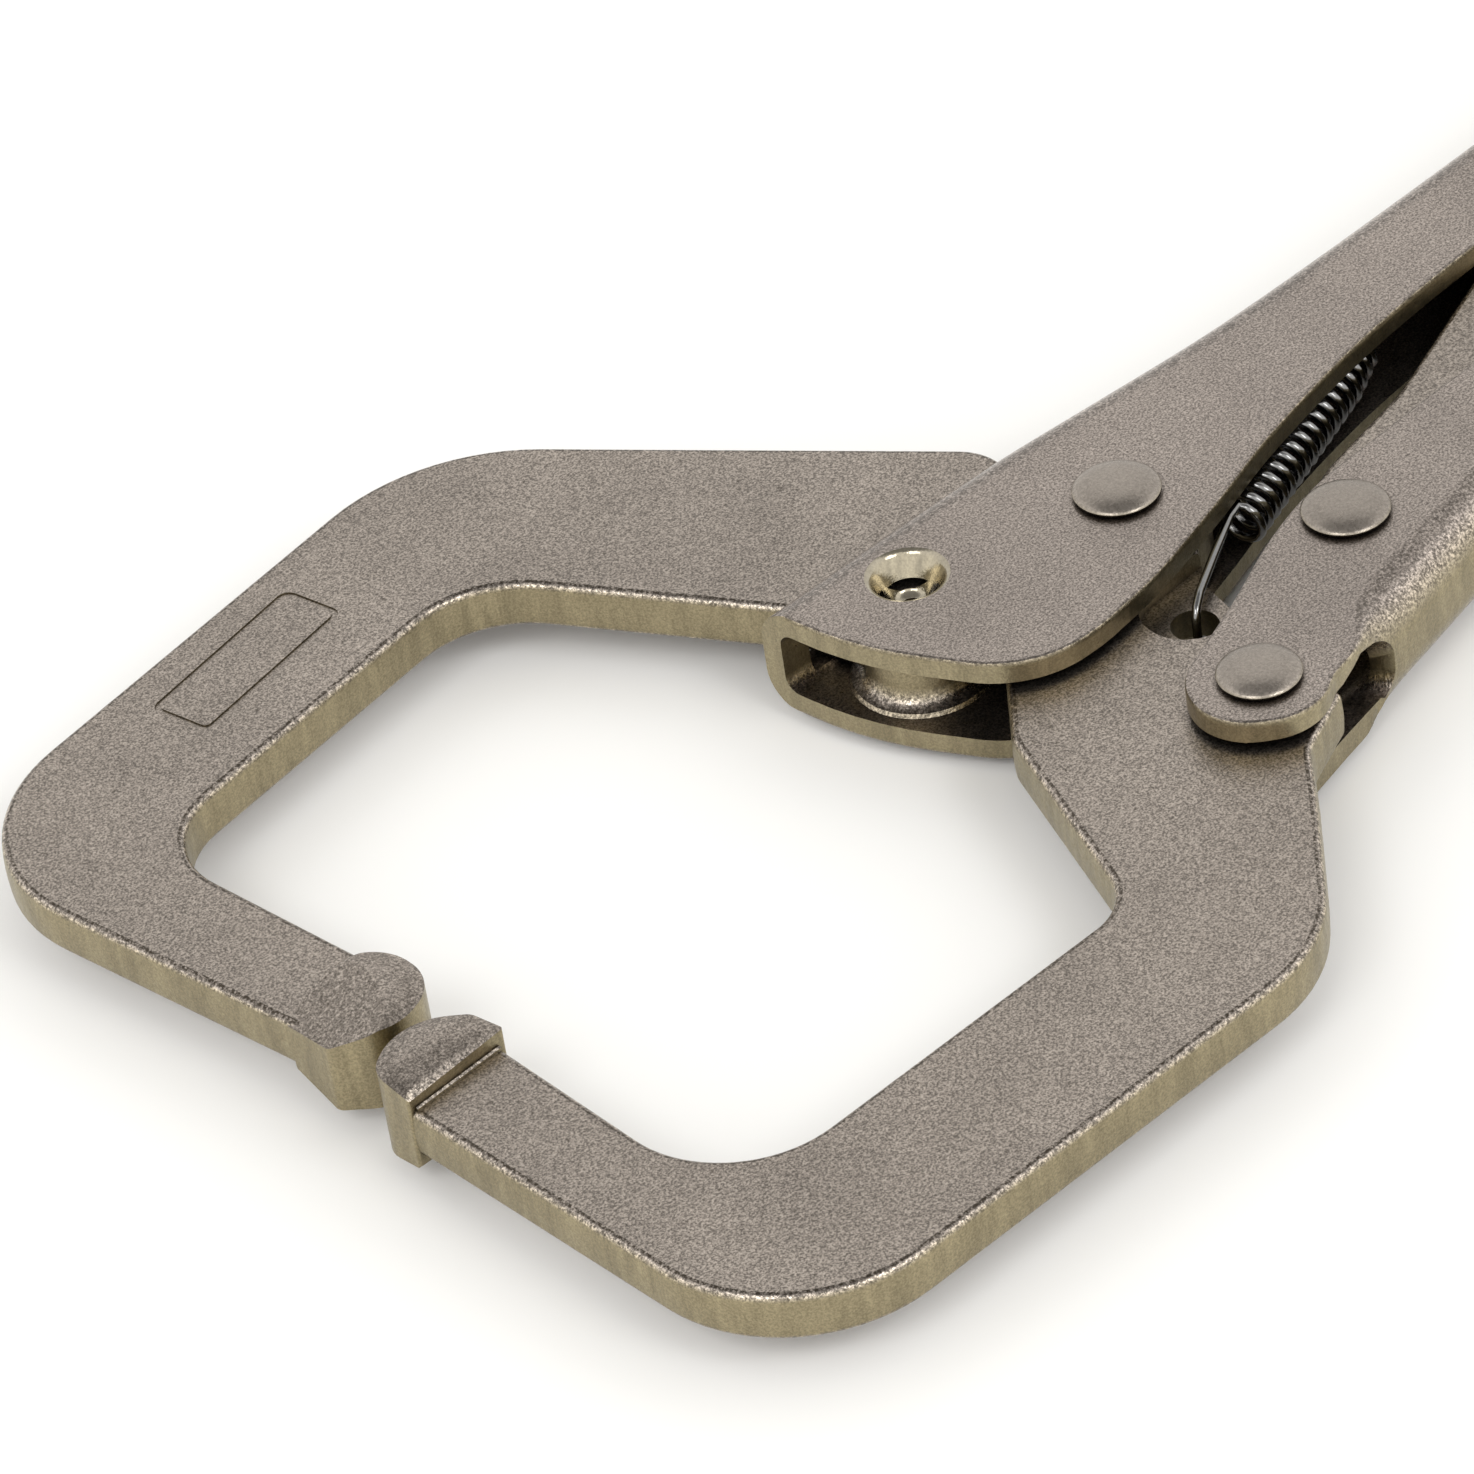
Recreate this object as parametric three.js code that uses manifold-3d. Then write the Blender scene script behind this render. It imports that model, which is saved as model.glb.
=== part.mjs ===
// Locking C clamp of the 6 inch class, closed on nothing, lying flat.
// Millimetres. The plan of the clamp is drawn in X and Y: +X runs back along the handles,
// +Y points from the lever handle to the fixed handle, and Z is the thickness.
// While drawing, the rivet of the jaw pivot is near X = Y = 0 and the middle plane is Z = 0.
// At the end the group is moved so that the bottom centre of the whole clamp is the origin.

import * as THREE from "three";
import { mergeVertices } from "three/addons/utils/BufferGeometryUtils.js";
import Module from "manifold-3d";

const wasm = await Module();
wasm.setup();

// ---- driving dimensions ----

const SHEET = 1.5; // pressed sheet of both handles
const CHANNEL_HALF = 3.7; // half of the outside height of a handle channel
const CHANNEL_INNER_HALF = CHANNEL_HALF - SHEET;
const FIXED_BEND = 2.5; // outside bend radius of the fixed handle
const LEVER_BEND = 2.8; // outside bend radius of the lever handle
const ARM_HALF = 1.65; // half of the thickness of both forged arms
const BOSS_HALF = 1.9; // half of the thickness where a forging fills a channel
const TIP_HALF = 3.25; // half of the thickness of the clamping tips
const GAP = 0.3; // clearance kept between neighbouring pieces

const JAW_PIVOT = [-0.4, -0.5]; // moving jaw on the fixed handle
const LEVER_PIVOT = [-7.3, -19.7]; // lever handle on the moving jaw
const LINK_PIVOT = [7.0, -12.7]; // toggle link on the lever handle
const RELEASE_PIVOT = [50, -11.4]; // release lever in the lever handle
const SWAGE = [-14.0, 3.65]; // conical swage that stakes the fixed jaw

const SWAGE_RADIUS = 2.65;
const SWAGE_FLOOR = CHANNEL_INNER_HALF + 0.3; // height where the cone ends

const EYE_RADIUS = 5.5; // eye of the moving jaw round its pivot
const EAR_RADIUS = 4.6; // ears of the lever handle
const LINK_RADIUS = 3.9; // front eye of the toggle link
const LINK_END_RADIUS = 2.4; // rounded rear end of the toggle link
const RIVET_SHANK = 1.7;
const RIVET_HEAD = 2.75;
const RIVET_HEAD_HEIGHT = 0.6;
const SPRING_HOLE = [-3.7, -10.2]; // hole of the front hook in the moving jaw
const SPRING_HOLE_RADIUS = 1.5;
const POCKET_RADIUS = 3.1; // spot face round the spring hole
const POCKET_DEPTH = 0.9;
const SPRING_RADIUS = 1.6; // outside radius of the coil
const SPRING_WIRE = 0.4; // radius of the hooks' wire

const SCREW_FRONT = [54.6, 4.6]; // tip of the adjusting screw
const SCREW_LEAN = THREE.MathUtils.degToRad(4.4); // the screw follows the handle's rear half
const SCREW_RADIUS = 2.0;
const BARREL_START = 21; // distances along the screw from its tip
const BARREL_END = 32;
const KNOB_START = 33.2;
const KNOB_END = 43.5;
const KNOB_RADIUS = 4.6;
const KNOB_SIDES = 48;
const LINK_TRAVEL_GAP = 3.4; // room between link and screw: the opened pivot of the linkage

const ARC_STEP = THREE.MathUtils.degToRad(15); // longest step of a drawn arc

// ---- plan outlines ----

// A closed or open run of corners [x, y, radius], with each corner rounded by an arc.
function rounded(corners, closed = true) {
  const points = [];
  corners.forEach(([x, y, radius = 0], index) => {
    const isEnd = !closed && (index === 0 || index === corners.length - 1);
    const corner = new THREE.Vector2(x, y);
    if (radius === 0 || isEnd) {
      points.push(corner);
      return;
    }
    const before = corners[(index + corners.length - 1) % corners.length];
    const after = corners[(index + 1) % corners.length];
    const toBefore = new THREE.Vector2(before[0] - x, before[1] - y).normalize();
    const toAfter = new THREE.Vector2(after[0] - x, after[1] - y).normalize();
    const halfAngle = Math.acos(THREE.MathUtils.clamp(toBefore.dot(toAfter), -1, 1)) / 2;
    const bisector = toBefore.clone().add(toAfter).normalize();
    const centre = corner.clone().addScaledVector(bisector, radius / Math.sin(halfAngle));
    const tangent = radius / Math.tan(halfAngle);
    const from = corner.clone().addScaledVector(toBefore, tangent).sub(centre);
    const to = corner.clone().addScaledVector(toAfter, tangent).sub(centre);
    const sweep = Math.atan2(from.cross(to), from.dot(to));
    const steps = Math.max(1, Math.ceil(Math.abs(sweep) / ARC_STEP));
    for (let step = 0; step <= steps; step += 1) {
      const angle = from.angle() + (sweep * step) / steps;
      points.push(new THREE.Vector2(Math.cos(angle), Math.sin(angle)).multiplyScalar(radius).add(centre));
    }
  });
  return points;
}

// A smooth curve through a few points, as a run of equal steps.
function smooth(points, steps) {
  const curve = new THREE.SplineCurve(points.map(([x, y]) => new THREE.Vector2(x, y)));
  return curve.getSpacedPoints(steps);
}

function circlePoints([x, y], radius, steps = 24) {
  return Array.from({ length: steps }, (_, index) => {
    const angle = (2 * Math.PI * index) / steps;
    return new THREE.Vector2(x + radius * Math.cos(angle), y + radius * Math.sin(angle));
  });
}

// ---- solids ----

function toManifold(geometry) {
  const bare = geometry.clone();
  bare.deleteAttribute("normal");
  bare.deleteAttribute("uv");
  const merged = mergeVertices(bare, 1e-5);
  return new wasm.Manifold(
    new wasm.Mesh({
      numProp: 3,
      vertProperties: new Float32Array(merged.attributes.position.array),
      triVerts: new Uint32Array(merged.index.array),
    }),
  );
}

function toGeometry(solid) {
  const mesh = solid.getMesh();
  const geometry = new THREE.BufferGeometry();
  geometry.setAttribute("position", new THREE.BufferAttribute(Float32Array.from(mesh.vertProperties), 3));
  geometry.setIndex(new THREE.BufferAttribute(Uint32Array.from(mesh.triVerts), 1));
  geometry.computeVertexNormals();
  return geometry;
}

// A flat plate from a plan outline, between two heights.
function plate(points, zLow, zHigh) {
  const geometry = new THREE.ExtrudeGeometry(new THREE.Shape(points), {
    depth: zHigh - zLow,
    bevelEnabled: false,
  });
  geometry.translate(0, 0, zLow);
  return toManifold(geometry);
}

function disc(centre, radius, zLow, zHigh, steps = 24) {
  return plate(circlePoints(centre, radius, steps), zLow, zHigh);
}

// A solid of revolution about Z from [radius, height] pairs.
function turned(profile, [x, y], steps = 24) {
  const geometry = new THREE.LatheGeometry(
    profile.map(([radius, height]) => new THREE.Vector2(radius, height)),
    steps,
  );
  geometry.rotateX(Math.PI / 2);
  geometry.translate(x, y, 0);
  return toManifold(geometry);
}

// Rings of equal point count at rising heights, closed by a cap at each end.
function stacked(rings) {
  const count = rings[0].points.length;
  const positions = [];
  const indices = [];
  rings.forEach(({ points, z }) => points.forEach((point) => positions.push(point.x, point.y, z)));
  for (let ring = 0; ring < rings.length - 1; ring += 1) {
    for (let index = 0; index < count; index += 1) {
      const a = ring * count + index;
      const b = ring * count + ((index + 1) % count);
      indices.push(a, b, b + count, a, b + count, a + count);
    }
  }
  const last = (rings.length - 1) * count;
  THREE.ShapeUtils.triangulateShape(rings[0].points, []).forEach(([a, b, c]) => indices.push(a, c, b));
  THREE.ShapeUtils.triangulateShape(rings[rings.length - 1].points, []).forEach(([a, b, c]) =>
    indices.push(last + a, last + b, last + c),
  );
  const geometry = new THREE.BufferGeometry();
  geometry.setAttribute("position", new THREE.Float32BufferAttribute(positions, 3));
  geometry.setIndex(indices);
  return toManifold(geometry);
}

// The outside of a pressed channel. The web edge is drawn in by the bend near both faces.
function channelOutside(webEdge, openEdge, bend, inward) {
  const bendSteps = 3;
  const heights = [];
  for (let step = 0; step <= bendSteps; step += 1) {
    const angle = (Math.PI / 2) * (1 - step / bendSteps);
    heights.push({ z: CHANNEL_HALF - bend + bend * Math.sin(angle), inset: bend * (1 - Math.cos(angle)) });
  }
  const levels = [...heights.map(({ z, inset }) => ({ z: -z, inset })), ...heights.reverse()];
  const rings = levels.map(({ z, inset }) => ({
    z,
    points: [...webEdge.map((point) => point.clone().addScaledVector(inward, inset)), ...openEdge],
  }));
  if (THREE.ShapeUtils.area(rings[0].points) < 0) {
    rings.forEach((ring) => ring.points.reverse());
  }
  return stacked(rings);
}

const finishes = {
  forging: { color: 0x9a9187, roughness: 0.42, metalness: 0.9 },
  handle: { color: 0xa59a90, roughness: 0.38, metalness: 0.9 },
  rivet: { color: 0xa8a196, roughness: 0.3, metalness: 0.95 },
  spring: { color: 0x1c1f20, roughness: 0.25, metalness: 0.7 },
  screw: { color: 0x8f8a80, roughness: 0.35, metalness: 0.95 },
};

function piece(name, solid, finish) {
  const mesh = new THREE.Mesh(toGeometry(solid), new THREE.MeshStandardMaterial(finishes[finish]));
  mesh.name = name;
  return mesh;
}

// ---- screw placing ----

const alongScrew = new THREE.Vector2(Math.cos(SCREW_LEAN), Math.sin(SCREW_LEAN));

function screwPoint(distance) {
  return new THREE.Vector2(...SCREW_FRONT).addScaledVector(alongScrew, distance);
}

// A turned piece along the screw's axis from [radius, distance from the tip] pairs.
function turnedOnScrew(profile, steps = 24) {
  const geometry = new THREE.LatheGeometry(
    profile.map(([radius, distance]) => new THREE.Vector2(radius, distance)),
    steps,
  );
  geometry.rotateZ(-Math.PI / 2 + SCREW_LEAN);
  geometry.translate(SCREW_FRONT[0], SCREW_FRONT[1], 0);
  return toManifold(geometry);
}

function cylinderOnScrew(radius, from, to, steps = 24) {
  return turnedOnScrew([[0, from], [radius, from], [radius, to], [0, to]], steps);
}

// ---- fixed handle ----

function fixedHandle() {
  const web = smooth(
    [
      [-21.8, 8.6], [-11, 8.9], [-2, 8.9], [6, 8.5], [15, 8.1],
      [25, 8.3], [39, 9.0], [55, 10.0], [70, 10.8], [85.8, 11.3],
    ],
    26,
  );
  const front = rounded([[-21.8, 8.6], [-20.9, 1.0, 6], [-15.5, -9.1, 5], [-10, -9.0]], false).slice(1);
  const open = smooth(
    [
      [-9, -8.9], [-4, -8.0], [3, -5.9], [10, -3.6], [20, -1.3],
      [31, 0], [45, 0.8], [60, 1.5], [74, 2.6], [86.3, 3.3],
    ],
    18,
  );
  const towardOpenEdge = new THREE.Vector2(0, -1);
  const outside = channelOutside([...web].reverse(), [...front, ...open], FIXED_BEND, towardOpenEdge);
  const inner = web.map((point) => new THREE.Vector2(point.x, point.y - SHEET));
  inner[0].x = -30;
  inner[inner.length - 1].x = 95;
  const cavity = plate(
    [...inner, new THREE.Vector2(95, -20), new THREE.Vector2(-30, -20)],
    -CHANNEL_INNER_HALF,
    CHANNEL_INNER_HALF,
  );
  const slot = plate(
    rounded([[-19.5, 6], [-0.1, 6], [-0.1, 14], [-19.5, 14]]),
    -ARM_HALF - GAP,
    ARM_HALF + GAP,
  );
  const barrel = cylinderOnScrew(CHANNEL_HALF, BARREL_START, BARREL_END);
  const rearCut = cylinderOnScrew(20, BARREL_END, BARREL_END + 20);
  const bore = cylinderOnScrew(SCREW_RADIUS + GAP, BARREL_START - 10, BARREL_END + 10);
  const swage = turned(
    [
      [0, SWAGE_FLOOR], [1.1, SWAGE_FLOOR], [SWAGE_RADIUS, CHANNEL_HALF],
      [SWAGE_RADIUS, CHANNEL_HALF + 1], [0, CHANNEL_HALF + 1],
    ],
    SWAGE,
  );
  return outside
    .subtract(cavity)
    .subtract(slot)
    .add(barrel)
    .subtract(bore)
    .subtract(rearCut)
    .subtract(swage)
    .subtract(disc(JAW_PIVOT, RIVET_SHANK + GAP, -10, 10));
}

// ---- fixed jaw ----

function fixedJaw() {
  const arm = plate(
    rounded([
      [-63.1, 0], [-67.7, 32.4, 11], [-23.2, 39.7, 14], [-0.9, 11.4, 4], [-0.9, 5.4], [-8.5, 5.4, 3],
      [-11.5, -2.9, 3], [-20, -2.9, 4], [-18.9, 4.4, 2], [-18.1, 6.8, 2], [-29.9, 26.6, 7],
      [-58.7, 22.1, 5.7], [-56.3, 0],
    ]),
    -ARM_HALF,
    ARM_HALF,
  );
  const tip = plate(
    rounded([
      [-63.6, 3.0, 0.6], [-63.8, -0.5], [-63.2, -2.1, 2], [-60.1, -3.1, 6],
      [-56.8, -1.7, 2], [-56.1, 1.5], [-56.6, 4.1, 1],
    ]),
    -TIP_HALF,
    TIP_HALF,
  );
  return arm.add(tip);
}

// ---- moving jaw ----

function movingJaw() {
  const body = plate(
    rounded([
      [-63.9, -6], [-62.8, -39.2, 10.5], [-19.9, -38.0, 11], [-11.0, -28.0, 5], [-8.3, -24.8, 3],
      [-3.6, -22.7, 0.6], [-1.9, -14], [-0.6, -7.9], [2, -4.6], [3.6, 3.0, 3], [-4, 3.6, 3],
      [-15, -5.6, 2], [-19.2, -10.6, 3], [-25.0, -26.4, 4], [-56.7, -27.4, 7.5], [-56.7, -6],
    ]),
    -ARM_HALF,
    ARM_HALF,
  );
  const eye = disc(JAW_PIVOT, EYE_RADIUS, -BOSS_HALF, BOSS_HALF, 32);
  const tip = plate(
    rounded([[-63.9, -8.2], [-56.3, -7.6], [-56.6, -5.5, 2], [-60.1, -2.7, 4], [-63.9, -5.1, 2]]),
    -TIP_HALF,
    TIP_HALF,
  );
  const [holeX, holeY] = SPRING_HOLE;
  const pocketRun = [
    [holeX, holeY - POCKET_RADIUS], [holeX + 8, holeY - POCKET_RADIUS + 1],
    [holeX + 8, holeY + POCKET_RADIUS + 1], [holeX, holeY + POCKET_RADIUS],
  ];
  const pocket = disc(SPRING_HOLE, POCKET_RADIUS, ARM_HALF - POCKET_DEPTH, ARM_HALF + 1)
    .add(plate(rounded(pocketRun), ARM_HALF - POCKET_DEPTH, ARM_HALF + 1));
  return body
    .add(eye)
    .subtract(pocket)
    .add(tip)
    .subtract(disc(SPRING_HOLE, SPRING_HOLE_RADIUS, -10, 10))
    .subtract(disc(JAW_PIVOT, RIVET_SHANK + GAP, -10, 10))
    .subtract(disc(LEVER_PIVOT, RIVET_SHANK + GAP, -10, 10));
}

// ---- lever handle ----

const leverWebEdge = [
  [-2.4, -22.5], [5, -20.8], [12, -19.1], [20, -17.4], [32, -15.8],
  [46, -15.3], [60, -16.5], [74, -19.4], [90, -23.5],
];
const leverOpenEdge = [
  [-3.7, -13.6], [2.6, -10.8], [8, -9.3], [14, -8.8], [20, -8.4],
  [32, -8.0], [46, -8.3], [60, -9.9], [74, -12.8], [90, -17.0],
];

function leverHandle() {
  const web = smooth(leverWebEdge, 24);
  const open = smooth(leverOpenEdge, 20);
  const outside = channelOutside(web, [...open].reverse(), LEVER_BEND, new THREE.Vector2(0, 1));
  const inner = web.map((point) => new THREE.Vector2(point.x, point.y + SHEET));
  const cavity = plate(
    [
      new THREE.Vector2(-12, inner[0].y), ...inner, new THREE.Vector2(95, inner[24].y),
      new THREE.Vector2(95, 5), new THREE.Vector2(-12, 5),
    ],
    -CHANNEL_INNER_HALF,
    CHANNEL_INNER_HALF,
  );
  const ear = rounded([
    [-2, -22.0], [-4.4, -23.0, 2], [-7.6, -24.9, EAR_RADIUS - 0.6], [-12.6, -21, EAR_RADIUS - 0.6],
    [-10.8, -16.4, EAR_RADIUS - 0.4], [-3.7, -13.6], [2, -11.2], [2, -17], [0.5, -20],
  ]);
  const ears = plate(ear, CHANNEL_INNER_HALF, CHANNEL_HALF).add(plate(ear, -CHANNEL_HALF, -CHANNEL_INNER_HALF));
  const notch = plate(
    rounded([[-14, -30], [1.2, -30], [1.2, -18], [-14, -18]]),
    -ARM_HALF - GAP - 0.3,
    ARM_HALF + GAP + 0.3,
  );
  const rearCorner = plate(rounded([[92, -26], [92, -10], [84, -10], [90, -18, 3], [88.6, -26]]), -6, 6);
  return outside
    .subtract(cavity)
    .add(ears)
    .subtract(notch)
    .subtract(rearCorner)
    .subtract(disc(LEVER_PIVOT, RIVET_SHANK + GAP, -10, 10))
    .subtract(disc(LINK_PIVOT, RIVET_SHANK + GAP, -10, 10))
    .subtract(disc(RELEASE_PIVOT, RIVET_SHANK + GAP, -10, 10));
}

// ---- toggle link, release lever, screw, spring ----

function toggleLink() {
  const end = screwPoint(-LINK_TRAVEL_GAP - LINK_END_RADIUS);
  const axis = new THREE.Vector2(end.x - LINK_PIVOT[0], end.y - LINK_PIVOT[1]).normalize();
  const side = new THREE.Vector2(-axis.y, axis.x);
  const front = new THREE.Vector2(...LINK_PIVOT);
  const at = (along, across) => front.clone().addScaledVector(axis, along).addScaledVector(side, across);
  const length = end.distanceTo(front);
  const bar = [
    at(0, -LINK_RADIUS + 0.4), at(14, -2.9), at(length - 8, -LINK_END_RADIUS), at(length, -LINK_END_RADIUS),
    at(length, LINK_END_RADIUS), at(length - 8, LINK_END_RADIUS), at(14, 2.9), at(0, LINK_RADIUS - 0.4),
  ];
  return plate(bar, -BOSS_HALF, BOSS_HALF)
    .add(disc(LINK_PIVOT, LINK_RADIUS, -BOSS_HALF, BOSS_HALF))
    .add(disc([end.x, end.y], LINK_END_RADIUS, -BOSS_HALF, BOSS_HALF, 16))
    .subtract(disc(LINK_PIVOT, RIVET_SHANK + GAP, -10, 10));
}

function releaseLever() {
  const half = CHANNEL_INNER_HALF - GAP;
  const outline = rounded([
    [34.2, -6.6, 1], [36.5, -5.6, 1], [44, -8.6, 4], [58, -8.9, 10], [76, -10.4, 14], [90.6, -13.0, 1], [90.2, -15.4, 1],
    [72, -12.9, 12], [54, -13.2, 2], [48, -13.2, 2], [38, -9.4, 4],
  ]);
  return plate(outline, -half, half).subtract(disc(RELEASE_PIVOT, RIVET_SHANK + GAP, -10, 10));
}

function adjustingScrew() {
  const shaft = turnedOnScrew([
    [0, 0], [1.8, 0], [SCREW_RADIUS, 1.4], [SCREW_RADIUS, KNOB_START - 1], [SCREW_RADIUS - 0.4, KNOB_START],
    [KNOB_RADIUS - 0.6, KNOB_START], [KNOB_RADIUS, KNOB_START + 0.6], [KNOB_RADIUS, KNOB_END - 0.8],
    [KNOB_RADIUS - 0.8, KNOB_END], [0, KNOB_END],
  ], KNOB_SIDES);
  const driveHole = cylinderOnScrew(2.2, KNOB_END - 3, KNOB_END + 2, 6);
  return shaft.subtract(driveHole);
}

function rivet([x, y]) {
  const seat = CHANNEL_HALF + GAP;
  const top = seat + RIVET_HEAD_HEIGHT;
  return turned([
    [0, -top], [RIVET_HEAD * 0.6, -top + 0.1], [RIVET_HEAD, -seat - 0.15], [RIVET_HEAD, -seat], [RIVET_SHANK, -seat],
    [RIVET_SHANK, seat], [RIVET_HEAD, seat], [RIVET_HEAD, seat + 0.15], [RIVET_HEAD * 0.6, top - 0.1], [0, top],
  ], [x, y]);
}

// The tension spring as one closed bar of its outer shape: thin hooks and a thick coil.
function jawSpring() {
  const stations = [
    [SPRING_HOLE[0] + 0.3, SPRING_HOLE[1] + 0.2, -1.0, SPRING_WIRE],
    [SPRING_HOLE[0] + 0.5, SPRING_HOLE[1] + 0.3, 1.25, SPRING_WIRE],
    [0.6, -7.7, 1.45, SPRING_WIRE],
    [4.4, -5.4, 1.2, SPRING_WIRE],
    [5.2, -4.9, 0, SPRING_RADIUS],
    [22.5, 1.6, 0, SPRING_RADIUS],
    [24, 2.2, 0, SPRING_WIRE],
    [33, 4.6, 0, SPRING_WIRE],
  ];
  const path = stations.map(([x, y, z]) => new THREE.Vector3(x, y, z));
  const sides = 8;
  const positions = [];
  const indices = [];
  stations.forEach(([x, y, z, radius], index) => {
    const before = path[Math.max(0, index - 1)];
    const after = path[Math.min(path.length - 1, index + 1)];
    const along = after.clone().sub(before).normalize();
    const across = new THREE.Vector3(0.6, -1, 0).cross(along).normalize();
    const up = along.clone().cross(across);
    for (let side = 0; side < sides; side += 1) {
      const angle = (2 * Math.PI * side) / sides;
      const offset = across.clone().multiplyScalar(Math.cos(angle)).addScaledVector(up, Math.sin(angle));
      positions.push(x + offset.x * radius, y + offset.y * radius, z + offset.z * radius);
    }
  });
  for (let ring = 0; ring < stations.length - 1; ring += 1) {
    for (let side = 0; side < sides; side += 1) {
      const a = ring * sides + side;
      const b = ring * sides + ((side + 1) % sides);
      indices.push(a, b, b + sides, a, b + sides, a + sides);
    }
  }
  const last = (stations.length - 1) * sides;
  for (let side = 1; side < sides - 1; side += 1) {
    indices.push(0, side + 1, side);
    indices.push(last, last + side, last + side + 1);
  }
  const geometry = new THREE.BufferGeometry();
  geometry.setAttribute("position", new THREE.Float32BufferAttribute(positions, 3));
  geometry.setIndex(indices);
  return toManifold(geometry);
}

// ---- assembly ----

const group = new THREE.Group();
group.add(
  piece("fixed_handle", fixedHandle(), "handle"),
  piece("fixed_jaw", fixedJaw(), "forging"),
  piece("moving_jaw", movingJaw(), "forging"),
  piece("lever_handle", leverHandle(), "handle"),
  piece("toggle_link", toggleLink(), "forging"),
  piece("release_lever", releaseLever(), "handle"),
  piece("adjusting_screw", adjustingScrew(), "screw"),
  piece("jaw_spring", jawSpring(), "spring"),
  piece("jaw_pivot_rivet", rivet(JAW_PIVOT), "rivet"),
  piece("lever_pivot_rivet", rivet(LEVER_PIVOT), "rivet"),
  piece("link_pivot_rivet", rivet(LINK_PIVOT), "rivet"),
  piece("release_pivot_rivet", rivet(RELEASE_PIVOT), "rivet"),
);

const box = new THREE.Box3().setFromObject(group);
const centre = box.getCenter(new THREE.Vector3());
group.position.set(-centre.x, -centre.y, -box.min.z);
group.updateMatrixWorld(true);

export default group;
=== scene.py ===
"""Locking C clamp, closed on nothing and lying flat on a plain pale floor.

Lengths are drawn in millimetres in the plan of the clamp: +X runs back along the handles, +Y points
from the lever handle to the fixed handle and Z is the thickness, with the middle plane at Z = 0.
Every piece is moved into the row frame and scaled to metres as its mesh is made.
"""

import math

import bmesh
import bpy
from mathutils import Matrix, Vector


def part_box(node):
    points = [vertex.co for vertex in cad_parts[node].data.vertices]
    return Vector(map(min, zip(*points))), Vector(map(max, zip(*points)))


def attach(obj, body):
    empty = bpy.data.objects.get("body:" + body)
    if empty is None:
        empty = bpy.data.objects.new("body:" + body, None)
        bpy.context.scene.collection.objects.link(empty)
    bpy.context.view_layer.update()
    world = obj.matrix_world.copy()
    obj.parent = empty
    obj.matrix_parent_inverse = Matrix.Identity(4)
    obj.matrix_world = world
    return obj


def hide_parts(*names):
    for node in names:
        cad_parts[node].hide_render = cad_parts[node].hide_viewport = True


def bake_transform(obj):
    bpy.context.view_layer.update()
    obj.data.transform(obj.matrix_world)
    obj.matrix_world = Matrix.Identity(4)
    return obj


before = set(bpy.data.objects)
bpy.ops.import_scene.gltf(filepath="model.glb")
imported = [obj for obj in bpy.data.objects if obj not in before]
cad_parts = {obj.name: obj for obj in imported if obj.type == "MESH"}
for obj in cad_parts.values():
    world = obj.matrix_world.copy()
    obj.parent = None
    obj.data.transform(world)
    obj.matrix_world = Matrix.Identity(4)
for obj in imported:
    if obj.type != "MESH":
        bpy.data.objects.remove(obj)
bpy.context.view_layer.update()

# ---- driving dimensions, in millimetres ----

SHEET = 1.5
CHANNEL_HALF = 3.7
CHANNEL_INNER_HALF = CHANNEL_HALF - SHEET
FIXED_BEND = 2.5
LEVER_BEND = 2.8
ARM_HALF = 1.65
BOSS_HALF = 1.9
TIP_HALF = 3.25
GAP = 0.3

JAW_PIVOT = (-0.4, -0.5)
LEVER_PIVOT = (-7.3, -19.7)
LINK_PIVOT = (7.0, -12.7)
RELEASE_PIVOT = (50.0, -11.4)
SWAGE = (-14.0, 3.65)
SWAGE_CONE = [
    (0, 0.7), (0.6, 0.75), (0.66, 1.35), (0.95, 1.42), (1.2, 1.6), (1.75, 2.5), (2.25, 3.4),
    (2.42, 3.62), (2.75, 3.75), (2.75, 4.7), (0, 4.7),
]
SPRING_HOLE = (-3.7, -10.2)
SPRING_HOLE_RADIUS = 1.5
POCKET_RADIUS = 3.1
POCKET_DEPTH = 1.3

RIVET_SHANK = 1.7
RIVET_HEAD = 2.75
RIVET_HEAD_HEIGHT = 0.6
RIVET_HOLE = RIVET_SHANK + GAP

SCREW_FRONT = (54.6, 4.6)
SCREW_LEAN = math.radians(4.4)
SCREW_RADIUS = 2.0
THREAD_PITCH = 1.25
BARREL_START = 21.0
BARREL_END = 32.0
KNOB_START = 33.2
KNOB_END = 43.5
KNOB_RADIUS = 4.6
LINK_TRAVEL_GAP = 3.4
LINK_END_RADIUS = 2.4
LINK_RADIUS = 3.9

MM = 0.001
ARC_STEP = math.radians(5)
THROUGH = 10

low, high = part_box("jaw_pivot_rivet")
rivet_centre = (low + high) / 2
OFFSET = rivet_centre / MM - Vector((*JAW_PIVOT, 0))


def place(x, y, z):
    """A point of the plan, in metres in the row frame."""
    return (Vector((x, y, z)) + OFFSET) * MM


# ---- plan outlines ----


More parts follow.
